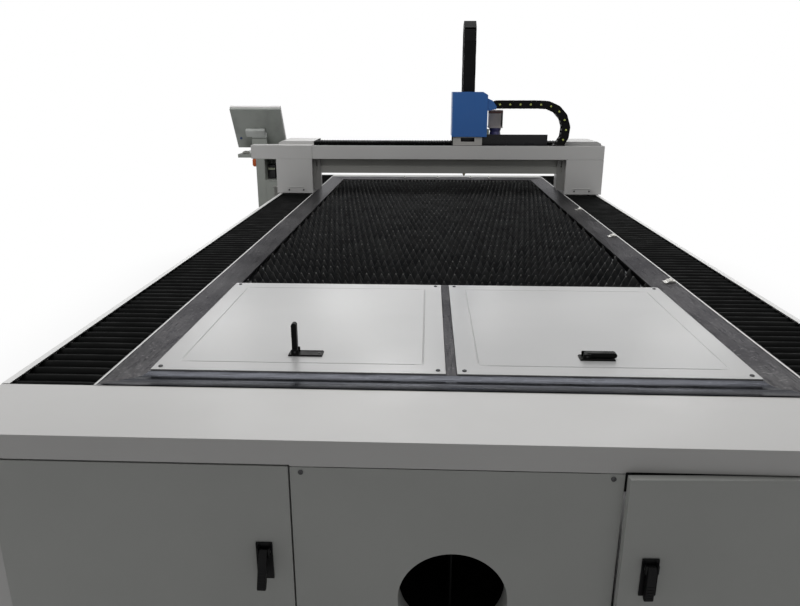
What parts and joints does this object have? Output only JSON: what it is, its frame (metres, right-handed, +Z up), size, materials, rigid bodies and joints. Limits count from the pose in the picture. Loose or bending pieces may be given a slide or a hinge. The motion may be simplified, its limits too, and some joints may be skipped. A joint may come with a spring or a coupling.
{
  "type": "fiber laser cutting machine",
  "caption": "Open-bed laser cutting machine: a steel bed with saw-tooth slats, a gantry on bellows-covered ways, a cutting head with drag chains, front doors and a side console.",
  "frame": {"origin": "on the floor, at the centre of the four anchor holes under the bed's corners", "axes": "+X to the machine's right seen from the doors, +Y along the bed from the doors to the console end, +Z up"},
  "size_m": [2.758, 4.6915, 1.9598],
  "materials": {
    "housing_paint": "satin warm light grey powder coat",
    "door_paint": "satin grey-green powder coat",
    "machine_paint": "satin grey paint",
    "frame_paint": "satin dark grey paint",
    "table_steel": "ground steel with fine scratches",
    "slat_steel": "bare sheet steel with burnt tooth tips",
    "plated_steel": "zinc-plated steel",
    "rail_steel": "ground hardened steel",
    "black_oxide": "blackened steel",
    "bellows_fabric": "black coated fabric",
    "chain_plastic": "black nylon",
    "tray_black": "glossy dark sheet",
    "head_blue": "satin dark blue",
    "motor_grey": "satin grey with dark ribs",
    "head_aluminium": "anodised",
    "nozzle_brass": "turned",
    "console_paint": "satin grey-green",
    "monitor_plastic": "fine-grained",
    "key_plastic": "matt black",
    "remote_orange": "glossy orange",
    "stop_red": "glossy red"
  },
  "bodies": {
    "bed": {"bed_frame": "frame_paint", "levelling_feet": "plated_steel", "table_frame": "table_steel", "front_housing": "housing_paint", "centre_front_panel": "door_paint", "exhaust_duct": "plated_steel", "side_panel_left": "door_paint", "side_panel_right": "door_paint", "rear_panel": "door_paint", "way_channels": "machine_paint", "y_rails": "rail_steel", "y_racks": "rail_steel", "way_bellows": "bellows_fabric", "cover_left": "housing_paint", "cover_right": "housing_paint", "slat_combs": "table_steel", "slats": "slat_steel", "deck_fasteners": "black_oxide", "cover_latch_plates": "plated_steel", "y_drag_chain": "chain_plastic", "console_column": "console_paint", "console_desk": "console_paint", "keyboard_and_mouse": "key_plastic", "hand_remote": "remote_orange"},
    "left_door": {"door_left": "door_paint", "door_latch_plate_left": "plated_steel"},
    "right_door": {"door_right": "door_paint", "door_latch_plate_right": "plated_steel"},
    "gantry": {"gantry_beam": "machine_paint", "y_bearing_blocks": "rail_steel", "gantry_fascia": "housing_paint", "end_cover_left": "housing_paint", "end_cover_right": "housing_paint", "leg_covers": "machine_paint", "leg_posts": "machine_paint", "y_motors": "motor_grey", "x_rails": "rail_steel", "chain_tray": "tray_black", "x_bellows": "bellows_fabric", "x_drag_chain": "chain_plastic"},
    "body_carriage": {"carriage": "machine_paint", "head_cover": "head_blue", "x_motor": "motor_grey", "z_motor": "motor_grey", "tower_chain": "chain_plastic"},
    "body_z_slide": {"z_slide": "machine_paint", "laser_head": "head_aluminium", "nozzle": "nozzle_brass"},
    "body_door_lever_left": {"door_lever_left": "plated_steel"},
    "body_door_lever_right": {"door_lever_right": "plated_steel"},
    "body_cover_lever_left": {"cover_lever_left": "plated_steel"},
    "body_cover_lever_right": {"cover_lever_right": "plated_steel"},
    "body_scrap_drawer_front": {"scrap_drawer_front": "door_paint"},
    "body_scrap_drawer_rear": {"scrap_drawer_rear": "door_paint"},
    "body_monitor": {"monitor": "monitor_plastic"},
    "body_emergency_stop": {"emergency_stop": "stop_red"},
    "body_y_pinion_left": {"y_pinion_left": "rail_steel"},
    "body_y_pinion_right": {"y_pinion_right": "rail_steel"},
    "body_x_pinion": {"x_pinion": "rail_steel"},
    "body_z_screw": {"z_screw": "rail_steel"}
  },
  "joints": [
    {"name": "gantry_travel", "type": "slide", "parent": "bed", "child": "gantry", "axis": [0, 1, 0], "range_m": [-2.65, 0.45], "deforming": ["way_bellows", "y_drag_chain"]},
    {"name": "y_pinion_right_spin", "type": "hinge", "parent": "gantry", "child": "body_y_pinion_right", "pos_m": [1.035, 1.491, 0.755], "axis": [0, 0, 1], "continuous": true},
    {"name": "y_pinion_left_spin", "type": "hinge", "parent": "gantry", "child": "body_y_pinion_left", "pos_m": [-1.035, 1.491, 0.755], "axis": [0, 0, 1], "continuous": true},
    {"name": "carriage_travel", "type": "slide", "parent": "gantry", "child": "body_carriage", "axis": [1, 0, 0], "range_m": [-0.95, 0.44], "deforming": ["x_bellows", "x_drag_chain"]},
    {"name": "x_pinion_spin", "type": "hinge", "parent": "body_carriage", "child": "body_x_pinion", "pos_m": [0.39, 1.332, 1.12], "axis": [0, 0, 1], "continuous": true},
    {"name": "z_travel", "type": "slide", "parent": "body_carriage", "child": "body_z_slide", "axis": [0, 0, 1], "range_m": [-0.07, 0.06], "deforming": ["tower_chain"]},
    {"name": "z_screw_spin", "type": "hinge", "parent": "body_carriage", "child": "body_z_screw", "pos_m": [0.195, 1.485, 1.25], "axis": [0, 0, 1], "continuous": true},
    {"name": "left_door_hinge", "type": "hinge", "parent": "bed", "child": "left_door", "pos_m": [-0.996, -2.301, 0.45], "axis": [0, 0, -1], "range_deg": [0, 110]},
    {"name": "right_door_hinge", "type": "hinge", "parent": "bed", "child": "right_door", "pos_m": [0.996, -2.301, 0.45], "axis": [0, 0, 1], "range_deg": [-2, 108]},
    {"name": "cover_lever_left_turn", "type": "hinge", "parent": "bed", "child": "body_cover_lever_left", "pos_m": [-0.415, -1.838, 0.866], "axis": [0, 1, 0], "range_deg": [0, 90]},
    {"name": "cover_lever_right_turn", "type": "hinge", "parent": "bed", "child": "body_cover_lever_right", "pos_m": [0.359, -1.838, 0.866], "axis": [0, -1, 0], "range_deg": [0, 90]},
    {"name": "door_lever_left_turn", "type": "hinge", "parent": "left_door", "child": "body_door_lever_left", "pos_m": [-0.408, -2.311, 0.587], "axis": [-1, 0, 0], "range_deg": [-26, 64]},
    {"name": "door_lever_right_turn", "type": "hinge", "parent": "right_door", "child": "body_door_lever_right", "pos_m": [0.40871, -2.33151, 0.587], "axis": [-0.9994, -0.0349, 0], "range_deg": [0, 90]},
    {"name": "scrap_drawer_front_slide", "type": "slide", "parent": "bed", "child": "body_scrap_drawer_front", "axis": [1, 0, 0], "range_m": [0, 0.8]},
    {"name": "scrap_drawer_rear_slide", "type": "slide", "parent": "bed", "child": "body_scrap_drawer_rear", "axis": [1, 0, 0], "range_m": [0, 0.8]},
    {"name": "monitor_tilt", "type": "hinge", "parent": "bed", "child": "body_monitor", "pos_m": [-1.424, 2.03, 1.19], "axis": [1, 0, 0], "range_deg": [-12, 20]},
    {"name": "emergency_stop_press", "type": "slide", "parent": "bed", "child": "body_emergency_stop", "axis": [0, 0, -1], "range_m": [0, 0.004], "stiffness_N_per_m": 1500}
  ],
  "couplings": [
    {"joint": "y_pinion_right_spin", "follows": "gantry_travel", "rad_per_m": 40},
    {"joint": "y_pinion_left_spin", "follows": "gantry_travel", "rad_per_m": -40},
    {"joint": "x_pinion_spin", "follows": "carriage_travel", "rad_per_m": 55.556},
    {"joint": "z_screw_spin", "follows": "z_travel", "rad_per_m": 628.32}
  ]
}
